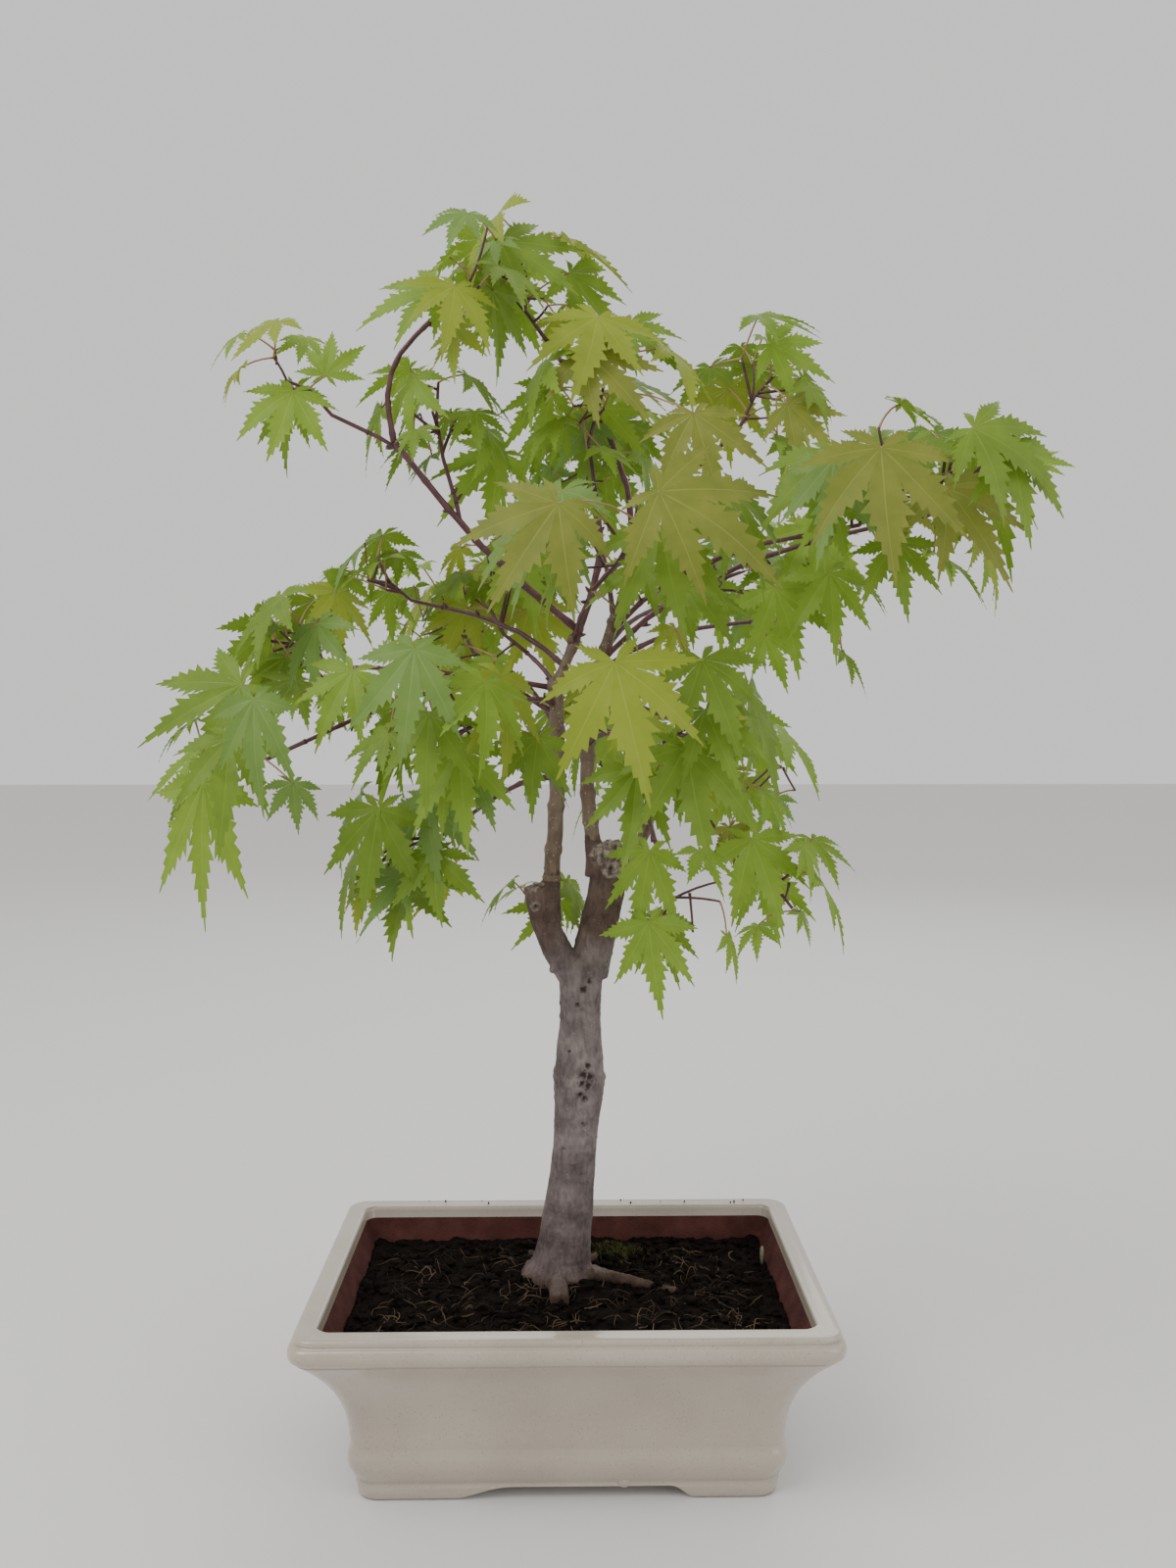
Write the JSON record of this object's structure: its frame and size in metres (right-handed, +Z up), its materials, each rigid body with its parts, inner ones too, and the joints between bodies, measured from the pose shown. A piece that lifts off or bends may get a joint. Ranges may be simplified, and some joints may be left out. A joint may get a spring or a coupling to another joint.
{
  "type": "maple bonsai in a glazed pot",
  "caption": "Informal upright bonsai maple with drooping lobed green leaves on thin boughs, in a flared rectangular cream pot with soil and corner feet.",
  "frame": {"origin": "middle of the pot, on the surface that its feet stand on", "axes": "+X along the pot's long side, to the right seen from the front; +Y from the front to the back; +Z up"},
  "size_m": [0.33, 0.2742, 0.513],
  "materials": {
    "glaze": "gloss",
    "soil": "matte",
    "bark": "matte",
    "young_wood": "satin",
    "leaves": "matte"
  },
  "bodies": {
    "root": {"pot": "glaze", "soil": "soil", "trunk": "bark", "left_stub": "bark", "right_stub": "bark", "left_stem": "bark", "left_leader": "bark", "right_stem": "bark", "back_stem": "bark", "arch_low": "young_wood", "arch_high": "young_wood", "upright": "young_wood", "top_bough": "young_wood", "arch_side_bough": "young_wood", "arch_inner_bough": "young_wood", "upper_right_bough": "young_wood", "right_front_bough": "young_wood", "right_tip_bough": "young_wood", "right_mid_bough": "young_wood", "centre_front_bough": "young_wood", "centre_low_bough": "young_wood", "right_low_bough": "young_wood", "right_hang_bough": "young_wood", "low_centre_bough": "young_wood", "left_front_bough": "young_wood", "far_left_bough": "young_wood", "left_up_bough": "young_wood", "left_high_bough": "young_wood", "left_low_bough": "young_wood", "mid_left_bough": "young_wood", "back_top_bough": "young_wood", "back_right_bough": "young_wood", "back_left_bough": "young_wood", "back_low_bough": "young_wood", "under_fork_bough": "young_wood", "top": "leaves", "arch_top": "leaves", "arch_side": "leaves", "arch_inner": "leaves", "upper_mid": "leaves", "upper_right": "leaves", "right_front": "leaves", "right_tip": "leaves", "right_mid": "leaves", "centre_front": "leaves", "centre_low": "leaves", "right_low": "leaves", "right_hang": "leaves", "low_centre": "leaves", "left_front": "leaves", "far_left": "leaves", "left_up": "leaves", "left_high": "leaves", "left_low": "leaves", "mid_left": "leaves", "back_top": "leaves", "back_right": "leaves", "back_left": "leaves", "back_low": "leaves", "under_fork": "leaves"}
  },
  "joints": []
}
